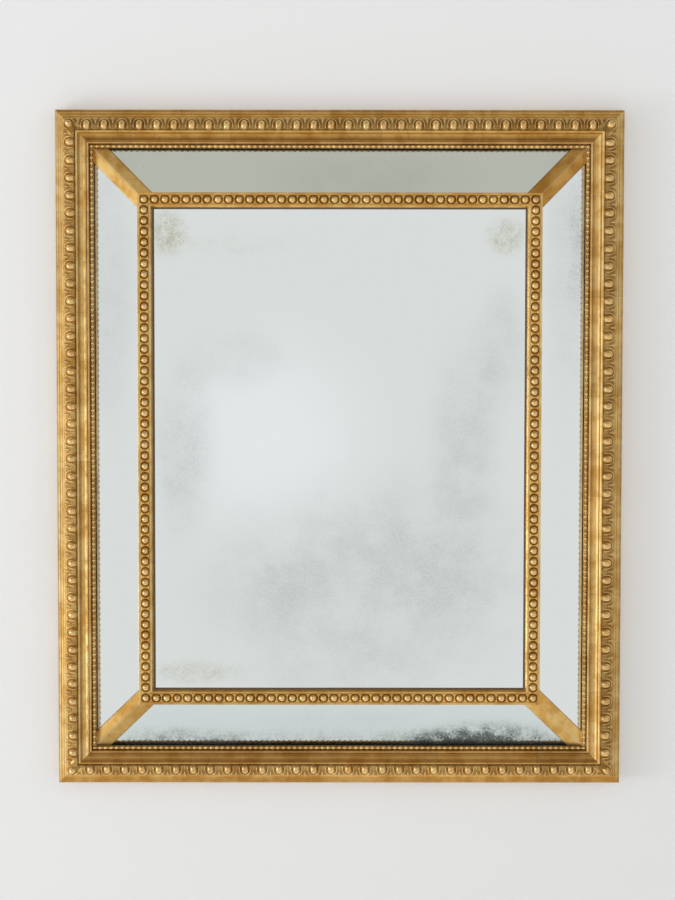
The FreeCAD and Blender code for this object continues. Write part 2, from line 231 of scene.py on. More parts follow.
# Every group gives a colour, a roughness and a height for bump.
def newGroup(name, inputs):
    group = bpy.data.node_groups.new(name, "ShaderNodeTree")
    kinds = {"value": "NodeSocketFloat", "colour": "NodeSocketColor", "vector": "NodeSocketVector"}
    for label, kind, default in inputs:
        socket = group.interface.new_socket(name=label, in_out="INPUT", socket_type=kinds[kind])
        socket.default_value = default
    for label, kind in (("Colour", "colour"), ("Roughness", "value"), ("Height", "value")):
        group.interface.new_socket(name=label, in_out="OUTPUT", socket_type=kinds[kind])
    return group, group.nodes.new("NodeGroupInput"), group.nodes.new("NodeGroupOutput")


def newMaterial(name):
    material = bpy.data.materials.new(name)
    material.use_nodes = True
    tree = material.node_tree
    return material, tree, tree.nodes["Principled BSDF"]


def bumped(tree, shader, height, distance, strength=1.0):
    bump = node(tree, "ShaderNodeBump", {"Height": height, "Distance": distance, "Strength": strength})
    setInputs(tree, shader, {"Normal": bump.outputs[0]})


gildingLook = dict(
    leafPale=(0.89, 0.605, 0.225, 1),
    leafDeep=(0.68, 0.380, 0.092, 1),
    bole=(0.30, 0.095, 0.035, 1),
    # dark brown laid where hollow is high: dirt toning and painted shade
    toningAndShade=(0.088, 0.033, 0.005, 1),
    gessoAndHighlight=(0.84, 0.65, 0.38, 1),       # leaf worn thin over pale gesso, and a painted highlight on crests
    leafLength=0.081,       # a leaf of gold along the rail
    lapShade=0.13,
    lapWander=0.004,
    patchScale=34.0,
    grainScale=520.0,
)


# Worn gold leaf. Colour: pale and deep leaf mixed by a soft noise, shifted leaf by leaf along the piece,
# worn pale on crests, which also paints a highlight there, rubbed to red bole there and by chance, and toned
# brown where hollow is high: dirt toning and painted shade.
def gildingGroup(look):
    inputs = [("ToningAndShade", "value", 1.0), ("Rub", "value", 1.0), ("Rough", "value", 0.3),
              ("Tint", "colour", (1, 1, 1, 1))]
    tree, given, result = newGroup("worn gilding", inputs)
    place = objectSpace(tree)
    hollow, crest, along = [node(tree, "ShaderNodeAttribute", attribute_name=label).outputs["Fac"]
                            for label in ("hollow", "crest", "along")]
    patches = noise(tree, place, look["patchScale"], 4.0, 0.6)
    grain = noise(tree, place, look["grainScale"], 2.0, 0.6)
    colour = mixColour(tree, ramp(tree, patches, 0.36, 0.66), look["leafPale"], look["leafDeep"])
    wander = times(tree, patches, look["lapWander"])
    leaves = maths(tree, "DIVIDE", maths(tree, "ADD", along, wander), look["leafLength"])
    leaf = maths(tree, "FLOOR", leaves)
    leafTone = node(tree, "ShaderNodeTexWhiteNoise", {"W": leaf}, noise_dimensions="1D").outputs[0]
    leafShade = scaled(tree, leafTone, look["lapShade"], 1 - look["lapShade"])
    overlap = ramp(tree, maths(tree, "FRACT", leaves), 0.0, 0.05, 0.86, 1.0)
    shade = times(tree, leafShade, overlap)
    grey = node(tree, "ShaderNodeCombineColor", {0: shade, 1: shade, 2: shade}).outputs[0]
    colour = mixColour(tree, 1.0, colour, grey, "MULTIPLY")
    # Each material's own tint, which on the rails is also painted light or shade.
    colour = mixColour(tree, 1.0, colour, given.outputs["Tint"], "MULTIPLY")
    # Paler on crests: leaf worn to gesso, and a painted highlight.
    colour = mixColour(tree, times(tree, crest, 0.6), colour, look["gessoAndHighlight"])
    worn = ramp(tree, noise(tree, place, 95.0, 5.0, 0.65), 0.60, 0.72)
    rubbed = times(tree, scaled(tree, crest, 0.55, 0.32), worn)
    rubbed = times(tree, rubbed, given.outputs["Rub"], clamp=True)
    colour = mixColour(tree, rubbed, colour, look["bole"])
    # Darkened where hollow is high: dirt toning, and painted shade in grooves and recesses.
    dirtAndShade = times(tree, hollow, ramp(tree, grain, 0.2, 0.7, 0.75, 1.0))
    dirtAndShade = times(tree, dirtAndShade, given.outputs["ToningAndShade"], clamp=True)
    colour = mixColour(tree, dirtAndShade, colour, look["toningAndShade"])
    rough = scaled(tree, patches, 0.16, given.outputs["Rough"])
    rough = scaled(tree, dirtAndShade, 0.30, rough)
    rough = scaled(tree, rubbed, 0.18, rough)
    height = scaled(tree, patches, 0.8, times(tree, grain, 0.25))
    setInputs(tree, result, {"Colour": colour, "Roughness": rough, "Height": height})
    return tree


gilding = gildingGroup(gildingLook)


def giltMaterial(name, toningAndShade, rub, rough, tintAndShade, relief):
    material, tree, shader = newMaterial(name)
    inputs = {"ToningAndShade": toningAndShade, "Rub": rub, "Rough": rough, "Tint": tintAndShade + (1,)}
    leaf = node(tree, "ShaderNodeGroup", inputs, node_tree=gilding).outputs
    setInputs(tree, shader, {"Base Color": leaf["Colour"], "Roughness": leaf["Roughness"], "Metallic": 0.92})
    bumped(tree, shader, leaf["Height"], relief)
    return material


# Lit and shaded copies of one gilding: the top and bottom rails darker and browner as painted shade, the left
# and right rails paler as painted light.
litAndShadedGiltRails = [giltMaterial("gilt lying rail painted shade", 0.9, 1.0, 0.28, (0.94, 0.82, 0.66), 0.0007),
             giltMaterial("gilt upright rail painted light", 0.9, 1.0, 0.28, (1.01, 1.03, 1.11), 0.0007)]
giltCast = giltMaterial("gilt ornament", 1.0, 0.7, 0.24, (1.00, 0.95, 0.85), 0.0004)
giltBar = giltMaterial("gilt ridge bar", 0.6, 0.5, 0.28, (1.03, 1.00, 0.97), 0.0006)
# A darker, browner copy of the bar gilding: painted shade for the top right bar.
giltShadedBar = giltMaterial("gilt ridge bar painted shade", 0.6, 0.5, 0.28, (1.05, 0.90, 0.70), 0.0006)


# Painted shadow on a lip's side or at a sight edge: dark umber, mottled between two browns by a fine noise.
def shadowPaintMaterial(name, dark, pale):
    material, tree, shader = newMaterial(name)
    speckle = noise(tree, objectSpace(tree), 300.0, 3.0)
    rough = ramp(tree, speckle, 0.3, 0.7, 0.65, 0.85)
    setInputs(tree, shader, {"Base Color": mixColour(tree, speckle, dark, pale), "Roughness": rough,
                             "Specular IOR Level": 0.0})
    bumped(tree, shader, speckle, 0.0002)
    return material


lipShadowPaint = shadowPaintMaterial("painted lip shadow", (0.014, 0.008, 0.003, 1), (0.040, 0.023, 0.010, 1))
# A browner umber at the inner rail's sight edge: painted shade.
sightShadePaint = shadowPaintMaterial("sight edge painted shade", (0.120, 0.083, 0.050, 1), (0.230, 0.162, 0.102, 1))


pineLook = dict(
    pale=(0.52, 0.34, 0.175, 1),
    dark=(0.35, 0.200, 0.090, 1),
    dust=(0.36, 0.285, 0.20, 1),
    ringScale=30.0,
)


# Pine grain. Rings: the fraction left by a noise drawn out along the grain, slowly darker and then
# sharply pale, with finer streaks on it.
def pineGroup(look):
    tree, given, result = newGroup("pine grain", [("Place", "vector", (0, 0, 0)), ("Age", "value", 0.5)])
    place = given.outputs["Place"]
    bend = noise(tree, stretched(tree, place, (1.0, 1.0, 0.05)), 7.0, 2.0)
    turns = maths(tree, "FRACT", times(tree, bend, look["ringScale"]))
    late = times(tree, ramp(tree, turns, 0.25, 0.88), ramp(tree, turns, 0.90, 1.0, 1.0, 0.0))
    streaks = noise(tree, stretched(tree, place, (1.0, 1.0, 0.015)), 520.0, 3.0, 0.7)
    rings = scaled(tree, late, 0.65, ramp(tree, streaks, 0.35, 0.70, 0.0, 0.4))
    colour = mixColour(tree, rings, look["pale"], look["dark"])
    stains = ramp(tree, noise(tree, place, 5.0, 5.0, 0.65), 0.42, 0.72)
    colour = mixColour(tree, times(tree, stains, given.outputs["Age"]), colour, look["dust"])
    rough = scaled(tree, rings, 0.15, 0.68)
    height = scaled(tree, streaks, 0.6, rings)
    setInputs(tree, result, {"Colour": colour, "Roughness": rough, "Height": height})
    return tree


pineGrain = pineGroup(pineLook)


# Each board has its own shift of the grain, and a lying one has its grain turned along the rail.
def pineMaterial(name, age, shift, lying=False):
    material, tree, shader = newMaterial(name)
    turned = (0, math.pi / 2 if lying else 0, 0)
    place = node(tree, "ShaderNodeMapping", {"Vector": objectSpace(tree), "Rotation": turned,
                                             "Location": (shift, 0.7 * shift, 1.3 * shift)}).outputs[0]
    grain = node(tree, "ShaderNodeGroup", {"Place": place, "Age": age}, node_tree=pineGrain).outputs
    setInputs(tree, shader, {"Base Color": grain["Colour"], "Roughness": grain["Roughness"]})
    bumped(tree, shader, grain["Height"], 0.0005)
    return material


rawPine = pineMaterial("raw pine", 0.3, 3.1)
lyingPine = pineMaterial("raw pine lying", 0.3, 5.3, lying=True)
boardPines = [pineMaterial("back board pine " + str(k + 1), 0.25 + 0.12 * k, 1.9 * k) for k in range(5)]


plateLook = dict(
    silver=(0.845, 0.872, 0.865, 1),
    cloud=(0.52, 0.545, 0.535, 1),
    olive=(0.58, 0.57, 0.43, 1),
    slate=(0.13, 0.145, 0.135, 1),
    spot=(0.16, 0.15, 0.125, 1),
)
# Places of the old silvering's faults: middle x and z, half width, half height, strength.
cloudPatches = [
    (0.04, -0.25, 0.36, 0.26, 0.30),
    (0.16, -0.15, 0.20, 0.17, 0.15),
    (-0.07, -0.20, 0.18, 0.12, 0.12),
    (-0.255, 0.00, 0.070, 0.19, 0.36),
    (0.205, 0.03, 0.080, 0.22, 0.30),
    (0.262, 0.16, 0.065, 0.14, 0.26),
    (-0.17, 0.15, 0.12, 0.07, 0.18),
]
foxingPatches = [
    (-0.280, 0.352, 0.050, 0.060, 1.0),
    (0.270, 0.346, 0.052, 0.048, 0.9),
    (-0.17, 0.332, 0.15, 0.030, 0.35),
    (-0.240, -0.364, 0.12, 0.034, 0.7),
]
marginClouds = [
    (-0.375, 0.30, 0.06, 0.34, 0.24),
    (0.375, 0.30, 0.06, 0.34, 0.24),
    (0.05, 0.44, 0.22, 0.07, 0.20),
    (0.0, -0.46, 0.55, 0.05, 0.16),
]
marginFoxing = [
    (0.235, -0.494, 0.19, 0.062, 1.5),
    (-0.27, -0.492, 0.17, 0.050, 0.75),
    (-0.02, -0.492, 0.42, 0.046, 0.55),
    (0.385, 0.33, 0.03, 0.16, 0.40),
]


# Sum of soft ovals: each keeps its strength near the middle and falls to nothing at its edge.
def ovals(tree, place, patches):
    total = 0.0
    for x, z, acrossHalf, upHalf, strength in patches:
        inputs = {"Vector": place, "Location": (-x / acrossHalf, 0, -z / upHalf),
                  "Scale": (1 / acrossHalf, 0.0, 1 / upHalf)}
        shifted = node(tree, "ShaderNodeMapping", inputs).outputs[0]
        away = node(tree, "ShaderNodeVectorMath", {0: shifted}, operation="LENGTH").outputs["Value"]
        total = maths(tree, "ADD", ramp(tree, away, 0.25, 1.0, strength, 0.0), total)
    return total


# Old silvered plate: grainy grey clouds and foxing where the ovals meet a noise, and a few dark specks.
# Near the plate's outer edge the silvering is dull, so its reflections blur.
def plateMaterial(name, clouds, blotches, stain, halfWide, halfTall):
    look = plateLook
    material, tree, shader = newMaterial(name)
    place = objectSpace(tree)
    broad = noise(tree, place, 14.0, 6.0, 0.65)
    fine = noise(tree, place, 380.0, 3.0, 0.75)
    cloudy = times(tree, ovals(tree, place, clouds), ramp(tree, broad, 0.30, 0.70, 0.45, 1.25))
    cloudy = times(tree, cloudy, ramp(tree, fine, 0.30, 0.70, 0.60, 1.35), clamp=True)
    edged = scaled(tree, noise(tree, place, 45.0, 6.0, 0.75), 1.5, -0.35)
    foxed = times(tree, ovals(tree, place, blotches), edged)
    foxed = ramp(tree, times(tree, foxed, ramp(tree, fine, 0.30, 0.70, 0.55, 1.3)), 0.0, 0.75)
    cells = node(tree, "ShaderNodeTexVoronoi", {"Vector": place, "Scale": 38.0, "Randomness": 1.0})
    chance = node(tree, "ShaderNodeSeparateColor", {0: cells.outputs["Color"]}).outputs[0]
    specks = times(tree, ramp(tree, cells.outputs["Distance"], 0.02, 0.05, 1.0, 0.0),
                   ramp(tree, chance, 0.93, 0.95))
    colour = mixColour(tree, cloudy, look["silver"], look["cloud"])
    colour = mixColour(tree, foxed, colour, stain)
    colour = mixColour(tree, times(tree, specks, 0.6), colour, look["spot"])
    rough = scaled(tree, cloudy, 0.10, 0.03)
    rough = scaled(tree, foxed, 0.30, rough)
    apart = node(tree, "ShaderNodeSeparateXYZ", {0: place})
    pastWide = maths(tree, "SUBTRACT", maths(tree, "ABSOLUTE", apart.outputs["X"]), halfWide)
    pastTall = maths(tree, "SUBTRACT", maths(tree, "ABSOLUTE", apart.outputs["Z"]), halfTall)
    sideRim = ramp(tree, pastWide, -0.010, -0.003, 0.0, 0.26)
    endRim = ramp(tree, pastTall, -0.008, -0.003, 0.0, 0.14)
    rough = maths(tree, "ADD", rough, maths(tree, "ADD", sideRim, endRim))
    setInputs(tree, shader, {"Base Color": colour, "Roughness": rough, "Metallic": 1.0})
    bumped(tree, shader, noise(tree, place, 7.0, 1.0), 0.0006, 0.25)
    return material


centreHalf = (0.32, 0.41)      # beyond the centre plate, so its rim stays clear
centreSilver = plateMaterial("foxed centre plate", cloudPatches, foxingPatches, plateLook["olive"],
                             *centreHalf)
marginSilver = plateMaterial("margin plates", marginClouds, marginFoxing, plateLook["slate"],
                             halfWidth - railWidth, halfHeight - railWidth)


# Dulled steel: grey metal with brown rust where a broad noise is high.
def steelMaterial(name):
    material, tree, shader = newMaterial(name)
    place = objectSpace(tree)
    rust = ramp(tree, noise(tree, place, 240.0, 5.0, 0.7), 0.48, 0.70)
    colour = mixColour(tree, rust, (0.30, 0.29, 0.27, 1), (0.115, 0.055, 0.028, 1))
    setInputs(tree, shader, {"Base Color": colour, "Roughness": scaled(tree, rust, 0.4, 0.36),
                             "Metallic": scaled(tree, rust, -0.7, 1.0)})
    bumped(tree, shader, noise(tree, place, 900.0, 3.0), 0.0002)
    return material


dullSteel = steelMaterial("dulled steel")
print("materials ready")


outerRail = dict(
    sideHeight=26.5, edge=(4.6, 31.0), quirkOut=(5.4, 30.6), fillet=(8.6, 32.8), filletEnd=10.6,
    bedStart=(13.0, 35.0), bedEnd=(33.5, 45.0),
    nosingTop=43.4, nosingEnd=(37.6, 41.8), quirk=1.2,
    hollowTop=41.2, hollowEnd=(49.6, 40.4), hollowSag=3.1, arrisEnd=50.4,
    reedTop=39.0, reedEnd=(55.2, 36.6),
    coveEnd=(56.0, 32.0), lip=(62.0, 24.0), lipRun=0.7, lipRise=0.5,
    plateSeat=(55.0, 21.9), panelSeat=(46.0, 8.0),
    spacing=0.4, wear=0.30, rows=140, waver=0.16,
    # Painted shadow on the lip's side, in dark umber: where it starts, then how high it reaches on the top
    # and bottom, then on the left and right.
    shadowFrom=61.6, shadowBelow=(31.4, 27.4),
    # Middle, half run and strength of the toned lines: dirt toning and painted shade in the grooves, and
    # painted shade dimming the outer edge.
    tonedAndShaded=((2.5, 3.5, 0.38), (8.0, 3.0, 0.26), (38.0, 0.7, 0.6), (40.6, 1.1, 0.2), (44.5, 4.5, 0.10),
           (50.2, 0.8, 0.6), (54.2, 1.8, 0.22), (56.4, 1.0, 0.3), (59.0, 3.0, 0.15)),
    shadedLying=((46.0, 7.0, 0.54),),       # painted shade, more on the top and bottom rails
)


# The rail's outline in u and v, front first, then the hidden rebates and the back.
def outerOutline(look):
    sideTop = (0, look["sideHeight"])
    filletV = look["fillet"][1]
    nosingU, nosingV = look["nosingEnd"]
    lipU, lipV = look["lip"]
    panelU, panelV = look["panelSeat"]
    corners = [(0, 0)] + bowed(sideTop, look["edge"], 0.9)
    corners += bowed(look["quirkOut"], look["fillet"], -0.6)
    corners += [(look["filletEnd"], filletV), look["bedStart"], look["bedEnd"]]
    corners += bowed((look["bedEnd"][0], look["nosingTop"]), (nosingU - 0.5, nosingV), 0.6)
    corners += [(nosingU - 0.4, nosingV - look["quirk"]), (nosingU + 0.2, nosingV - look["quirk"])]
    corners += bowed((nosingU + 0.4, look["hollowTop"]), look["hollowEnd"], -look["hollowSag"])
    corners += [(look["arrisEnd"], look["hollowEnd"][1]), (look["arrisEnd"], look["reedTop"] - 0.8)]
    corners += bowed((look["arrisEnd"] + 0.3, look["reedTop"] - 0.4), look["reedEnd"], 1.6)
    corners += bowed(look["reedEnd"], look["coveEnd"], -0.4)
    lipStart, lipTop = lipU - look["lipRun"], look["coveEnd"][1] + look["lipRise"]
    corners += [(lipStart, look["coveEnd"][1]), (lipStart, lipTop), (lipU, lipTop), (lipU, lipV)]
    corners += [look["plateSeat"], (look["plateSeat"][0], panelV), (panelU, panelV), (panelU, 0)]
    return corners


# How far each point of a closed outline lies below or above its neighbourhood, as shares of a depth.
def outlineRelief(heights, reach, depth):
    offsets = np.arange(-reach, reach + 1)
    around = np.mean([np.roll(heights, k) for k in offsets], 0)
    return np.clip((around - heights) / depth, 0, 1), np.clip((heights - around) / depth, 0, 1)


# Gentle waver of hand work along a run: three sines of odd lengths.
def waver(s, size, phase):
    lengths = ((0.31, 0.5), (0.117, 0.3), (0.053, 0.2))
    return size * sum(share * np.sin(math.tau * s / length + phase * (k + 1))
                      for k, (length, share) in enumerate(lengths))


# The share of the outline's hollowness that darkens it: dirt toning and painted shade.
mouldingLook = dict(reliefReach=1.6, reliefDepth=1.2, toningAndShadeShare=0.5, sharp=38)


# A moulding: its outline carried along the side, each point stopping on the corner's diagonal.
def moulding(name, outline, look, side, materials, backBelow, replaced):
    profile = wornProfile(outline, look["spacing"], look["wear"])
    u, v = profile[:, 0] * mm, profile[:, 1] * mm
    share = np.linspace(-1, 1, look["rows"])[:, None]
    s = share * (side["halfLength"] - u)[None, :]
    fade = 1 - np.abs(share) ** 8
    front = v[None, :] > backBelow * mm
    height = v[None, :] + front * fade * waver(s, look["waver"] * mm, 1.7 * side["turns"])
    inward = u[None, :] + front * fade * waver(s, 0.5 * look["waver"] * mm, 2.3 * side["turns"] + 1)
    reach = int(mouldingLook["reliefReach"] / look["spacing"])
    # Darker where the outline is hollow and along the listed lines: dirt toning and painted shade, with more
    # painted shade on the top and bottom rails.
    hollow, crest = outlineRelief(profile[:, 1], reach, mouldingLook["reliefDepth"])
    hollow *= mouldingLook["toningAndShadeShare"]
    for middle, half, strength in look["tonedAndShaded"] + (() if side["turns"] % 2 else look["shadedLying"]):
        hollow = np.maximum(hollow, strength * np.exp(-((profile[:, 0] - middle) / half) ** 2))
    values = dict(hollow=hollow * front, crest=crest * front, along=s + 1.37 * side["turns"])
    # Columns on the lip's side take the dark umber finish: painted shadow, which the plate also reflects.
    finish = np.where(profile[:, 1] < backBelow, 1, 0)
    shadowed = (profile[:, 0] > look["shadowFrom"]) & (profile[:, 1] > backBelow)
    shadowed &= profile[:, 1] < look["shadowBelow"][side["turns"] % 2]
    finish = np.where(shadowed, 2, finish)
    points = toSide(s, inward, height, side)
    piece = gridPiece(name, points, materials, values, colMaterial=finish, sharp=mouldingLook["sharp"])
    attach(piece, "mirror")
    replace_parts(piece, *replaced)


for sideName, side in sides.items():
    hidden = ["outer_rail_" + sideName] + (["mitre_keys"] if sideName == "bottom" else [])
    upright = side["turns"] % 2
    moulding("gilt_outer_rail_" + sideName, outerOutline(outerRail), outerRail, side,
             [litAndShadedGiltRails[upright], rawPine if upright else lyingPine, lipShadowPaint], 0.6, hidden)
print("outer rails carved")


eggStrip = dict(
    fineness=0.68,                       # grid step along the rail
    crossSteps=46,
    cornerEgg=24.0, cornerShrink=0.85,   # corner egg's middle from both outer edges, and its size
    pitch=28.3,
    eggHalf=6.2, eggMiddle=26.0, eggTip=7.0, eggTail=7.8, eggRise=6.8,
    grooveAway=0.7, grooveHalf=0.85, groove=1.7,
    rimAway=2.75, rimHalf=1.0, rimRise=2.1,
    dartWide=2.3, dartThin=0.8, dartRise=2.6, dartRun=9.0, dartFrom=(12.8, 14.0), dartTo=(22.5, 24.0),
    vein=1.9, veinHalf=0.6, veinFrom=(13.5, 15.0), veinTo=(18.0, 20.0),
    reed=0.9, reedPitch=3.2, reedHalf=4.4, reedFrom=(24.0, 25.5), reedTo=(32.0, 33.3),
    jitter=(0.5, 0.07, 0.4),             # along the rail, in rise, and inward
    stipple=0.45, stippleLength=2.9,
    slab=1.6, swell=1.6,
    ground=1.5,                          # relief below which the toning and painted shade gather
)


# One egg: a blunt oval dome with its tip turned outward, a groove round it, then a U-shaped rim that sinks
# towards the hollow. x is along the rail from the egg's middle and y inward from it.
def eggRelief(x, y, rise, look):
    long = np.where(y < 0, look["eggTip"], look["eggTail"])
    power = np.where(y < 0, 2.0, 2.5)
    oval = (np.abs(x) / look["eggHalf"]) ** 2.2 + (np.abs(y) / long) ** power
    dome = rise * np.clip(1 - oval, 0, None) ** 0.5
    tipMiddle = look["eggHalf"] - look["eggTip"]
    away = np.where(y > tipMiddle, np.abs(x), np.hypot(x, y - tipMiddle)) - look["eggHalf"]
    fade = 1 - smoothStep(1.0, 7.0, y)
    groove = np.exp(-((away - look["grooveAway"]) / look["grooveHalf"]) ** 2)
    rim = look["rimRise"] * np.exp(-((away - look["rimAway"]) / look["rimHalf"]) ** 4) * fade
    return np.where(dome > 0, dome, rim - look["groove"] * groove), away


# One between two runs of u, which it rises in and falls in.
def between(rising, falling, u):
    return smoothStep(*rising, u) * (1 - smoothStep(*falling, u))


# The dart between two eggs: a veined leaf that narrows inward, then three short reeds at the hollow.
def dartRelief(x, u, look):
    narrowed = np.clip((u - look["dartFrom"][1]) / look["dartRun"], 0, 1)
    width = look["dartWide"] + (look["dartThin"] - look["dartWide"]) * narrowed
    leaf = np.exp(-(x / width) ** 4) * between(look["dartFrom"], look["dartTo"], u)
    vein = np.exp(-(x / look["veinHalf"]) ** 2) * between(look["veinFrom"], look["veinTo"], u)
    strokes = 0.5 + 0.5 * np.cos(math.tau * x / look["reedPitch"])
    reeds = strokes * between(look["reedFrom"], look["reedTo"], u) * np.exp(-(x / look["reedHalf"]) ** 6)
    return np.maximum(look["dartRise"] * leaf - look["vein"] * vein, look["reed"] * reeds)


# Height of the egg strip over its sloping bed, in millimetres, at s and u.
def eggHeights(s, u, halfLength, look, draws):
    run = halfLength - look["cornerEgg"]
    count = int(round(2 * run / look["pitch"]))
    step = 2 * run / count
    nearest = np.clip(np.rint((s + run) / step), 1, count - 1).astype(int)
    shift, swell, slip = [size * draw[nearest] for size, draw in zip(look["jitter"], draws)]
    x = s + run - nearest * step - shift
    relief, away = eggRelief(x, u - look["eggMiddle"] - slip, look["eggRise"] * (1 + swell), look)
    toDart = ((s + run) / step) % 1 - 0.5
    beyond = smoothStep(3.9, 4.8, away)
    turn = math.tau / look["stippleLength"]
    stipple = look["stipple"] * np.sin(turn * s) * np.sin(turn * u + s)
    height = np.maximum(relief, beyond * (dartRelief(toDart * step, u, look) + stipple))
    # The corner egg lies on the diagonal, with its tip towards the corner.
    fromEnd = halfLength - np.abs(s) - look["cornerEgg"]
    inward = u - look["cornerEgg"]
    cornerX = (fromEnd - inward) * math.sqrt(0.5)
    cornerY = (fromEnd + inward) * math.sqrt(0.5)
    shrink = look["cornerShrink"]
    corner, cornerAway = eggRelief(cornerX / shrink, cornerY / shrink, shrink * look["eggRise"], look)
    corner = np.maximum(corner, 0.9 * smoothStep(4.0, 7.0, cornerY) * smoothStep(0.8, 1.6, cornerAway))
    near = (1 - smoothStep(5.6, 6.4, cornerAway)) * (1 - smoothStep(13.0, 16.0, cornerY))
    return height * (1 - near) + corner * near


# A cast strip in millimetres: its top, given as s, u and v, and two more columns that tuck it into its bed.
def castStrip(name, side, share, top, underU, underV, hollow, crest, leafShift):
    size = (len(share), 2)
    underU = np.broadcast_to(underU, size)
    under = (share * (side["halfLength"] / mm - underU), underU, np.broadcast_to(underV, size))
    s, u, v = [np.concatenate([np.broadcast_to(one, hollow.shape), two], 1) for one, two in zip(top, under)]
    values = dict(hollow=np.concatenate([hollow, np.ones(size)], 1),
                  crest=np.concatenate([crest, np.zeros(size)], 1), along=s * mm + leafShift)
    return gridPiece(name, toSide(s * mm, u * mm, v * mm, side), [giltCast], values)


def eggPiece(sideName, side, look):
    start, end = outerRail["bedStart"], outerRail["bedEnd"]
    halfLength = side["halfLength"] / mm
    rows = int(2 * halfLength / look["fineness"])
    across = np.linspace(0, 1, look["crossSteps"])
    u = start[0] + across * (end[0] - start[0])
    share = np.linspace(-1, 1, rows)[:, None]
    s = share * (halfLength - u)[None, :]
    draws = rng.uniform(-1, 1, (3, 80))
    relief = eggHeights(s, np.broadcast_to(u, s.shape), halfLength, look, draws)
    edge = smoothStep(0, 0.06, across) * smoothStep(0, 0.05, 1 - across)
    slab = look["slab"] + look["swell"] * np.sin(math.pi * across)
    height = 0.4 + edge * (slab - 0.4 + relief)
    ground = softened(softened(relief, 5, 0), 4, 1)
    # Darker on the low ground round the eggs and darts: dirt toning and painted shade; darker at the strip's
    # inner end: painted shadow; paler on crests: wear and painted highlight.
    hollow = 0.68 * np.clip((look["ground"] - relief) / 1.5, 0, 1) * smoothStep(0.02, 0.25, across)
    hollow = np.clip(hollow + 0.35 * smoothStep(0.90, 1.0, across), 0, 1)
    crest = np.clip((relief - ground) / 1.6, 0, 1)
    slope = math.atan2(end[1] - start[1], end[0] - start[0])
    bed = start[1] + across * (end[1] - start[1])
    lean = height * math.sin(slope)
    topU = u[None, :] - lean
    topV = bed[None, :] + height * math.cos(slope)
    # Beside the mitre the relief leans along the rail too, so that both halves of the corner egg meet.
    beside = 1 - smoothStep(0, 14, halfLength - np.abs(s) - u[None, :])
    topS = s + np.sign(s) * lean * beside
    under = [end[0], start[0]], [end[1] - 1.0, start[1] - 1.0]
    piece = castStrip("egg_and_dart_" + sideName, side, share, (topS, topU, topV), *under, hollow, crest,
                      1.37 * side["turns"] + 0.03)
    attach(piece, "mirror")
    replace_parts(piece, "egg_strip_" + sideName)


for sideName, side in sides.items():
    eggPiece(sideName, side, eggStrip)
print("egg and dart strips cast")


sightPearls = dict(
    pitch=9.1, pearlRadius=3.15, reelRadius=1.9, middle=58.9, bed=32.0, sink=0.9, fineness=0.55, around=12,
)


# A string of pearls: a tube whose radius swells to a ball at each pitch and shrinks to a reel between.
# Two sides carry the corner pearls, and the other two stop short of them.
def pearlString(sideName, side, look):
    middle = look["middle"] * mm
    run = (side["halfLength"] - middle) / mm
    count = int(round(2 * run / look["pitch"]))
    step = 2 * run / count
    reach = run + (look["pearlRadius"] if side["turns"] % 2 == 0 else -step / 2)
    rows = int(2 * reach / look["fineness"])
    s = np.linspace(-reach, reach, rows)
    x = (s + run) - np.rint((s + run) / step) * step
    ball = np.sqrt(np.clip(look["pearlRadius"] ** 2 - x ** 2, 0, None))
    radius = np.maximum(ball, look["reelRadius"] * (np.abs(s) <= run) + 0.05)
    angle = np.linspace(-0.12 * math.pi, 1.12 * math.pi, look["around"])
    u = look["middle"] + radius[:, None] * np.cos(angle)[None, :]
    v = look["bed"] + look["pearlRadius"] - look["sink"] + radius[:, None] * np.sin(angle)[None, :]
    # Darker on the reels and on the pearls' sides next to the bed: painted shade; paler on their fronts: wear
    # and a painted highlight.
    hollow = np.clip(0.95 - radius / look["pearlRadius"], 0, 1)[:, None]
    hollow = np.clip(hollow + 0.7 * (np.sin(angle) < 0.2)[None, :], 0, 1)
    crest = 0.6 * (np.sin(angle) > 0.7)[None, :] * (ball[:, None] > 1.5)
    values = dict(hollow=hollow, crest=crest, along=s[:, None] * mm + 0.7 * side["turns"])
    points = toSide(np.broadcast_to(s[:, None], u.shape) * mm, u * mm, v * mm, side)
    piece = gridPiece("sight_pearls_" + sideName, points, [giltCast], values)
    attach(piece, "mirror")
    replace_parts(piece, "sight_bead_" + sideName)


for sideName, side in sides.items():
    pearlString(sideName, side, sightPearls)
print("sight pearls strung")


innerRail = dict(
    wall=5.5, fillet=4.0, bedRun=14.0, bedDrop=2.0, lipRun=3.5, lipRise=1.5, slopeRun=6.0, slopeFall=6.5,
    plateCover=7.0, foot=14.0, spacing=0.45, wear=0.34, rows=110, waver=0.12,
    shadowFrom=156.75, shadowBelow=(60.0, 60.0),      # painted shade at the sight edge, in dark umber
    tonedAndShaded=((138.0, 1.0, 0.4), (151.0, 1.0, 0.4)), shadedLying=(),
)


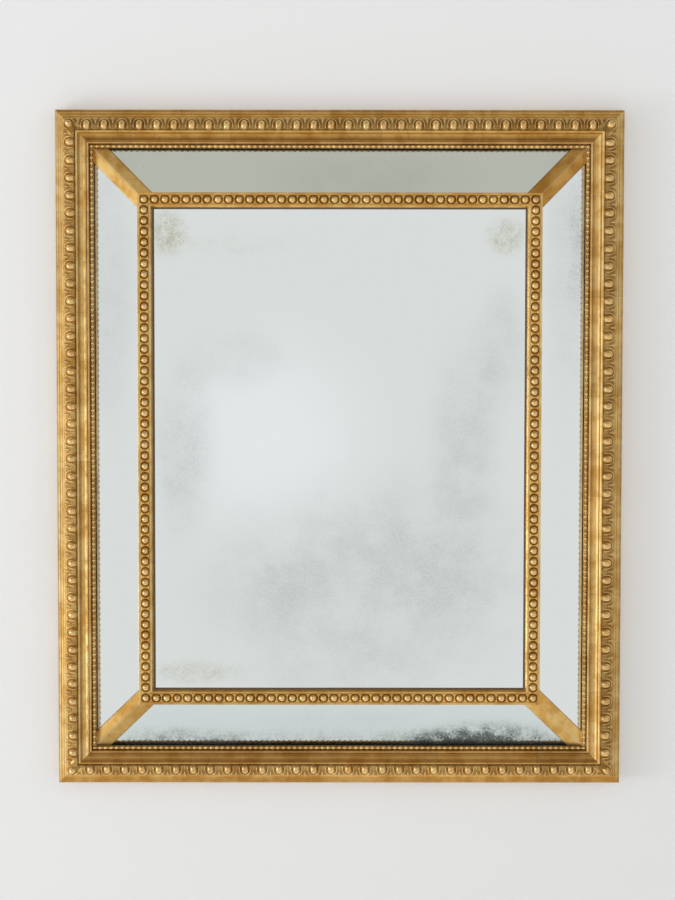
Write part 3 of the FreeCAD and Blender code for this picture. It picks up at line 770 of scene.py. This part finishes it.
# The inner rail's outline: outer wall, fillet, sunk bed for the pearls, inner lip and the slope to the plate.
def innerOutline(look):
    start = innerStart / mm
    base = -innerLow.y / mm - look["wall"]
    bed = base + look["wall"] - look["bedDrop"]
    bedStart = start + look["fillet"]
    bedEnd = bedStart + look["bedRun"]
    lipEnd = bedEnd + look["lipRun"]
    sight = lipEnd + look["slopeRun"]
    front = bed + look["lipRise"] - look["slopeFall"]
    foot = front - look["foot"]
    top = base + look["wall"]
    corners = [(start, base), (start, top), (bedStart, top), (bedStart, bed), (bedEnd, bed)]
    corners += [(bedEnd, bed + look["lipRise"]), (lipEnd, bed + look["lipRise"])]
    corners += bowed((lipEnd, bed + look["lipRise"]), (sight, front), -0.5)
    corners += [(sight - look["plateCover"], front), (sight - look["plateCover"], foot)]
    corners += [(start + look["plateCover"], foot), (start + look["plateCover"], base + 2.0)]
    return corners, bed, (bedStart + bedEnd) / 2


innerCorners, pearlBed, pearlMiddle = innerOutline(innerRail)
for sideName, side in sides.items():
    moulding("gilt_inner_rail_" + sideName, innerCorners, innerRail, side,
             [litAndShadedGiltRails[side["turns"] % 2], rawPine, sightShadePaint], pearlBed - 12, ["inner_rail_" + sideName])
print("inner rails carved")


innerPearls = dict(
    pitch=17.3, radius=6.0, rise=5.5, ringAway=0.5, ringHalf=0.7, ringDeep=1.3, cusp=0.75, slab=1.3,
    halfWidth=6.95, fineness=0.6, crossSteps=30,
)


# Pearls in a sunk ring: a ball's cap inside its radius, a groove round it, and cusps left standing between.
def innerPearlPiece(sideName, side, look):
    halfLength = side["halfLength"] / mm
    run = halfLength - pearlMiddle
    count = int(round(2 * run / look["pitch"]))
    step = 2 * run / count
    rows = int(2 * run / look["fineness"])
    across = np.linspace(-1, 1, look["crossSteps"])
    u = pearlMiddle + look["halfWidth"] * across
    share = np.linspace(-1, 1, rows)[:, None]
    s = share * (halfLength - u)[None, :]
    draws = rng.uniform(-1, 1, (3, 80))
    nearest = np.clip(np.rint((s + run) / step), 0, count).astype(int)
    inner = (nearest > 0) & (nearest < count)
    x = s + run - nearest * step - 0.25 * draws[0, nearest] * inner
    y = u[None, :] - pearlMiddle
    away = np.hypot(x, y)
    radius = look["radius"] * (1 + 0.025 * draws[1, nearest] * inner)
    cap = look["rise"] * np.sqrt(np.clip(1 - (away / radius) ** 2, 0, None)) ** 0.95
    groove = -look["ringDeep"] * np.exp(-((away - radius - look["ringAway"]) / look["ringHalf"]) ** 2)
    cusp = look["cusp"] * smoothStep(1.0, 2.4, away - radius)
    relief = np.where(away < radius, np.maximum(cap, groove), groove + cusp)
    edge = smoothStep(0, 0.05, 1 - np.abs(across))
    height = look["slab"] + edge * relief
    # Darker in the groove round each pearl: dirt toning and painted shade; paler on the cap's top: wear and a
    # painted highlight.
    hollow = np.clip(0.85 * np.exp(-((away - radius - 0.35) / 0.65) ** 2), 0, 1)
    crest = np.clip(cap / look["rise"] - 0.5, 0, 1) * 2
    piece = castStrip("inner_pearls_" + sideName, side, share, (s, u, pearlBed + height), u[[-1, 0]],
                      pearlBed - 0.8, hollow, crest, 0.9 * side["turns"])
    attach(piece, "mirror")
    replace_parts(piece, "pearl_strip_" + sideName)


for sideName, side in sides.items():
    innerPearlPiece(sideName, side, innerPearls)
print("inner pearls cast")


ridgeBar = dict(
    start=60.5, end=134.0, halfWidth=24.0, rise=4.0, wear=0.25, wearReach=2.5, slope=17.0, lipHeight=24.0,
    edgeRound=0.9, edgeDrop=0.8, rows=60, cols=28,
    # Painted shade on each bar's two facets, set corner by corner.
    shadesByFacet=dict(bottom_right=(0.0, 0.0), top_right=(0.58, 0.68), top_left=(0.24, 0.0),
               bottom_left=(0.42, 0.48)),
)


# A bent bar over a hip. On each side of the hip it lies on that side's plate: forward of the plate's slope
# by its rise, a little lower at the worn arris and the rounded edge. d runs from the hip along the rail.
def ridgePiece(cornerName, first, second, look):
    u = np.linspace(look["start"], look["end"], look["rows"])[:, None]
    d = look["halfWidth"] * np.linspace(1, 0, look["cols"])[None, :]
    plate = look["lipHeight"] + (u - outerRail["lip"][0]) * math.tan(math.radians(look["slope"]))
    nearEdge = (d - look["halfWidth"] + look["edgeRound"]) / look["edgeRound"]
    rounded = np.clip(nearEdge, 0, 1) ** 2 * look["edgeDrop"]
    worn = look["wear"] * np.exp(-(d / look["wearReach"]) ** 2)
    top = plate + look["rise"] / math.cos(math.radians(look["slope"])) - rounded - worn
    under = np.broadcast_to(plate - 0.3, top.shape)
    inward = np.broadcast_to(u, top.shape)

    def facet(side, sign, heights):
        s = sign * (side["halfLength"] / mm - u - d)
        return toSide(s * mm, inward * mm, heights * mm, side)

    upper = [facet(first, 1, top), facet(second, -1, top)[:, ::-1][:, 1:]]
    lower = [facet(second, -1, under), facet(first, 1, under)[:, ::-1][:, 1:]]
    points = np.concatenate(upper + lower, 1)
    # Painted shadow along the bar's long edges; paler along the arris: painted highlight and wear.
    edge = np.exp(-((look["halfWidth"] - d) / 1.2) ** 2)
    arris = np.exp(-(d / 2.0) ** 2)
    front = [np.concatenate([band, band[:, ::-1][:, 1:]], 1) for band in (edge, arris)]
    hidden = np.ones((1, 2 * look["cols"] - 1))
    facetShade = np.repeat(look["shadesByFacet"][cornerName], [look["cols"], look["cols"] - 1])[None, :]
    values = dict(hollow=np.concatenate([facetShade + 0.5 * front[0], hidden], 1),
                  crest=np.concatenate([0.6 * front[1], 0 * hidden], 1),
                  along=np.broadcast_to(u * mm * 1.4, points.shape[:2]) + 0.61 * first["turns"])
    # The top right bar takes the darker copy: painted shade.
    gilt = giltShadedBar if cornerName == "top_right" else giltBar
    piece = gridPiece("gilt_ridge_bar_" + cornerName, points, [gilt], values)
    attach(piece, "mirror")
    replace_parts(piece, "ridge_bar_" + cornerName)


order = [sides[sideName] for sideName in ("bottom", "right", "top", "left")]
for k, cornerName in enumerate(("bottom_right", "top_right", "top_left", "bottom_left")):
    ridgePiece(cornerName, order[k], order[(k + 1) % 4], ridgeBar)
print("ridge bars bent")


# A solid that keeps its shape takes one new finish.
def finishNode(name, material):
    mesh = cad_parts[name].data
    mesh.materials.clear()
    mesh.materials.append(material)


plainFinishes = {"margin_plate": marginSilver, "centre_plate": centreSilver, "hanger": dullSteel}
plainFinishes.update({"back_board_" + str(k + 1): material for k, material in enumerate(boardPines)})
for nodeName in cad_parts:
    chosen = [material for start, material in plainFinishes.items() if nodeName.startswith(start)]
    finishNode(nodeName, chosen[0] if chosen else rawPine)
print("solids finished")


hangingRing = dict(wire=2.0, cornerRadius=5.0, around=14, bow=48, corner=8)


# The ring: a circle of the wire's radius carried round a D whose middle line follows the solid's own box.
def ringPiece(hand, look):
    nodeName = "hanger_ring_" + hand
    low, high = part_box(nodeName)
    wire = look["wire"] * mm
    halfAcross = (high.x - low.x) / 2 - wire
    middleX = (high.x + low.x) / 2
    barZ = low.z + wire
    topZ = high.z - wire
    cornerRadius = look["cornerRadius"] * mm
    bowZ = topZ - halfAcross
    bowAngles = np.linspace(0, math.pi, look["bow"])
    turn = np.linspace(0, math.pi / 2, look["corner"])
    inset = halfAcross - cornerRadius
    left = np.stack([-inset - cornerRadius * np.cos(turn), cornerRadius * (1 - np.sin(turn))], -1)
    right = np.stack([inset + cornerRadius * np.sin(turn), cornerRadius * (1 - np.cos(turn))], -1)
    bow = np.stack([halfAcross * np.cos(bowAngles), bowZ - barZ + halfAcross * np.sin(bowAngles)], -1)
    path = np.concatenate([left, right, bow])
    ahead = np.roll(path, -1, 0) - np.roll(path, 1, 0)
    ahead /= np.linalg.norm(ahead, axis=1)[:, None]
    normal = np.stack([ahead[:, 1], -ahead[:, 0]], -1)
    angle = np.linspace(0, math.tau, look["around"], endpoint=False)
    offset = wire * np.cos(angle)[None, :, None] * normal[:, None, :]
    flat = path[:, None, :] + offset
    depth = np.broadcast_to((low.y + high.y) / 2 + wire * np.sin(angle), flat.shape[:2])
    points = np.stack([middleX + flat[..., 0], depth, barZ + flat[..., 1]], -1)
    piece = gridPiece("hanging_ring_" + hand, points, [dullSteel], ring=True)
    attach(piece, hand + "_ring")
    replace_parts(piece, nodeName)


for hand in ("left", "right"):
    ringPiece(hand, hangingRing)
print("hanging rings bent")


screwHead = dict(radius=3.6, rise=1.6, rings=26, around=72, slotHalf=0.45, slotFloor=0.4)
nailHead = dict(radius=2.7, rise=0.8, rings=7, around=18, slotHalf=0.0, slotFloor=1.0)
nailShares, nailInset = (0.22, 0.78), 0.016      # across a board, and from its ends
headSkirt = 0.3


# Domed heads in one mesh: each is a quarter ellipse turned about its middle, with a skirt below its seat.
# A slot lowers the points that lie near a line across the head.
def headsPiece(name, places, look):
    rise = look["rise"] * mm
    tilt = np.linspace(0, 0.49 * math.pi, look["rings"])[:, None]
    angle = np.linspace(0, math.tau, look["around"], endpoint=False)[None, :]
    radius = look["radius"] * mm * np.concatenate([np.ones((1, 1)), np.cos(tilt)])
    out = np.concatenate([np.full((1, 1), -headSkirt * mm), rise * np.sin(tilt)])
    turn = rng.uniform(0, math.pi, (len(places), 1, 1))
    slotted = np.abs(radius * np.cos(angle - turn)) < look["slotHalf"] * mm
    high = np.where(slotted, np.minimum(out, look["slotFloor"] * rise), out)
    flat = [np.broadcast_to(radius * wave, high.shape) for wave in (np.cos(angle), np.sin(angle))]
    points = np.stack([flat[0], high, flat[1]], -1) + np.array(places)[:, None, None, :]
    rows, cols = points.shape[1:3]
    index = np.arange(rows * cols).reshape(rows, cols)
    quads = wrappedQuads(index)[:, [0, 3, 2, 1]]
    shift = (np.arange(len(places)) * rows * cols)[:, None, None]
    ends = np.stack([index[0], index[-1][::-1]])
    faces = (quads + shift).reshape(-1, 4).tolist() + (ends + shift).reshape(-1, cols).tolist()
    mesh = bpy.data.meshes.new(name)
    mesh.from_pydata(points.reshape(-1, 3).tolist(), [], faces)
    mesh.materials.append(dullSteel)
    mesh.polygons.foreach_set("use_smooth", np.ones(len(mesh.polygons), bool))
    mesh.set_sharp_from_angle(angle=math.radians(50))
    piece = placed(name, mesh)
    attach(piece, "mirror")
    return piece


screwLow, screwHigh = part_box("hanger_screws")
headRadius = screwHead["radius"] * mm
screwSeat = screwHigh.y - screwHead["rise"] * mm
screwPlaces = [(x, screwSeat, z) for x in (screwLow.x + headRadius, screwHigh.x - headRadius)
               for z in (screwLow.z + headRadius, screwHigh.z - headRadius)]
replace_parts(headsPiece("screw_heads", screwPlaces, screwHead), "hanger_screws")
boardBoxes = [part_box(nodeName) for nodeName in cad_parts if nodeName.startswith("back_board")]
nailPlaces = [(low.x + share * (high.x - low.x), high.y, z) for low, high in boardBoxes
              for share in nailShares for z in (low.z + nailInset, high.z - nailInset)]
headsPiece("nail_heads", nailPlaces, nailHead)
print("screws and nails driven")


# A flat sheet of four corners, for the stage only.
def sheetPiece(name, corners, material):
    mesh = bpy.data.meshes.new(name)
    mesh.from_pydata(corners, [], [(0, 1, 2, 3)])
    mesh.materials.append(material)
    piece = placed(name, mesh)


stageLook = dict(wall=(0.86, 0.87, 0.905, 1), glow=0.177, floor=(0.80, 0.80, 0.79, 1),
                 wallGap=0.002, floorDrop=1.5, spread=6.0)


# Painted wall: plain to the camera and in reflections, and clear from behind and to other rays,
# so the back stays lit.
def wallMaterial(look):
    material, tree, shader = newMaterial("plain wall")
    setInputs(tree, shader, {"Base Color": look["wall"], "Roughness": 0.9,
                             "Emission Color": (1, 1, 1, 1), "Emission Strength": look["glow"]})
    rays = node(tree, "ShaderNodeLightPath")
    seen = maths(tree, "MAXIMUM", rays.outputs["Is Camera Ray"], rays.outputs["Is Glossy Ray"])
    behind = node(tree, "ShaderNodeNewGeometry").outputs["Backfacing"]
    solid = times(tree, seen, maths(tree, "SUBTRACT", 1.0, behind))
    clear = node(tree, "ShaderNodeBsdfTransparent")
    mixed = node(tree, "ShaderNodeMixShader", {0: solid, 1: clear.outputs[0], 2: shader.outputs[0]})
    tree.links.new(mixed.outputs[0], tree.nodes["Material Output"].inputs["Surface"])
    return material


# Plain floor, left out of reflections, so that the plates show the studio's own pale colour.
def floorMaterial(look):
    material, tree, shader = newMaterial("plain floor")
    setInputs(tree, shader, {"Base Color": look["floor"], "Roughness": 0.85})
    mirrored = node(tree, "ShaderNodeLightPath").outputs["Is Glossy Ray"]
    clear = node(tree, "ShaderNodeBsdfTransparent")
    mixed = node(tree, "ShaderNodeMixShader", {0: mirrored, 1: shader.outputs[0], 2: clear.outputs[0]})
    tree.links.new(mixed.outputs[0], tree.nodes["Material Output"].inputs["Surface"])
    return material


wallY = cadBox[1].y + stageLook["wallGap"]
wide = stageLook["spread"]
floorZ = -stageLook["floorDrop"]
wallCorners = [(-wide, wallY, floorZ), (wide, wallY, floorZ), (wide, wallY, wide), (-wide, wallY, wide)]
floorCorners = [(-wide, -wide, floorZ), (wide, -wide, floorZ), (wide, wide, floorZ), (-wide, wide, floorZ)]
sheetPiece("stage_wall", wallCorners, wallMaterial(stageLook))
sheetPiece("stage_floor", floorCorners, floorMaterial(stageLook))


skyLook = dict(
    ahead=(0.81, 0.825, 0.82, 1), above=(0.53, 0.53, 0.46, 1), below=(0.72, 0.77, 0.76, 1),
    ceiling=(0.34, 0.31, 0.25, 1), ground=(1.20, 1.17, 1.05, 1), behind=(0.74, 0.74, 0.73, 1),
    leftSide=(1.0, 1.005, 0.99, 1), farLeft=(0.80, 0.80, 0.79, 1),
    rightSide=(0.98, 0.985, 0.97, 1), farRight=(0.25, 0.25, 0.25, 1),
    patch=(0.90, 0.92, 0.93, 1), patchAim=(-0.0185, -0.9963, -0.0838), patchReach=0.046, strength=1.0,
    # Axis, where the band begins and where it is full, and its colour.
    bands=(("Z", 0.12, 0.60, "above"), ("Z", 0.58, 0.80, "ceiling"), ("Z", -0.15, -0.55, "below"),
           ("Z", -0.70, -0.84, "ground"), ("Y", 0.0, 0.7, "behind"), ("X", -0.64, -0.78, "leftSide"),
           ("X", -0.84, -0.95, "farLeft"), ("X", 0.64, 0.76, "rightSide"), ("X", 0.84, 0.94, "farRight")),
)


# Soft studio room: pale ahead, dimmer towards the ceiling and behind, blended by the direction looked in,
# with a paler round patch opposite the mirror.
def studioWorld(look):
    world = bpy.data.worlds.new("soft studio")
    world.use_nodes = True
    tree = world.node_tree
    direction = node(tree, "ShaderNodeTexCoord").outputs["Generated"]
    parts = node(tree, "ShaderNodeSeparateXYZ", {0: direction})
    colour = look["ahead"]
    for axis, begin, full, label in look["bands"]:
        colour = mixColour(tree, ramp(tree, parts.outputs[axis], begin, full), colour, look[label])
    inputs = {0: direction, 1: look["patchAim"]}
    off = node(tree, "ShaderNodeVectorMath", inputs, operation="DISTANCE").outputs["Value"]
    colour = mixColour(tree, ramp(tree, off, look["patchReach"], 0.004), colour, look["patch"])
    setInputs(tree, tree.nodes["Background"], {"Color": colour, "Strength": look["strength"]})
    bpy.context.scene.world = world


studioWorld(skyLook)


keyLamp = dict(place=(-3.4, -1.9, -0.7), power=27.0, size=1.5, colour=(1.0, 0.99, 0.975))
lampData = bpy.data.lights.new("soft_key", "AREA")
lampData.shape = "DISK"
lampData.size = keyLamp["size"]
lampData.energy = keyLamp["power"]
lampData.color = keyLamp["colour"]
lamp = placed("soft_key", lampData)
lamp.location = keyLamp["place"]
lamp.rotation_euler = (-Vector(keyLamp["place"])).to_track_quat("-Z", "Y").to_euler()
bpy.context.scene.view_settings.view_transform = "Standard"
print("stage lit")


cameraLook = dict(distance=5.5, azimuth=-0.2, elevation=4.98, roll=0.06, lens=134.4,
                  aimAcross=-0.0006, aimUp=-0.0007)


# The camera stands on a sphere round the frame's middle, aimed at it with a small offset, then rolled.
def photoCamera(look):
    around, above = math.radians(look["azimuth"]), math.radians(look["elevation"])
    away = Vector((math.sin(around) * math.cos(above), -math.cos(around) * math.cos(above), math.sin(above)))
    forward = -away
    right = forward.cross(Vector((0, 0, 1))).normalized()
    up = right.cross(forward)
    forward = (forward + look["aimAcross"] * right + look["aimUp"] * up).normalized()
    data = bpy.data.cameras.new("photo_camera")
    data.sensor_width = 36.0
    data.lens = look["lens"]
    camera = placed("photo_camera", data)
    camera.location = away * look["distance"]
    aim = forward.to_track_quat("-Z", "Y")
    camera.rotation_euler = (aim @ Quaternion((0, 0, 1), math.radians(look["roll"]))).to_euler()
    bpy.context.scene.camera = camera


photoCamera(cameraLook)

print("scene ready")
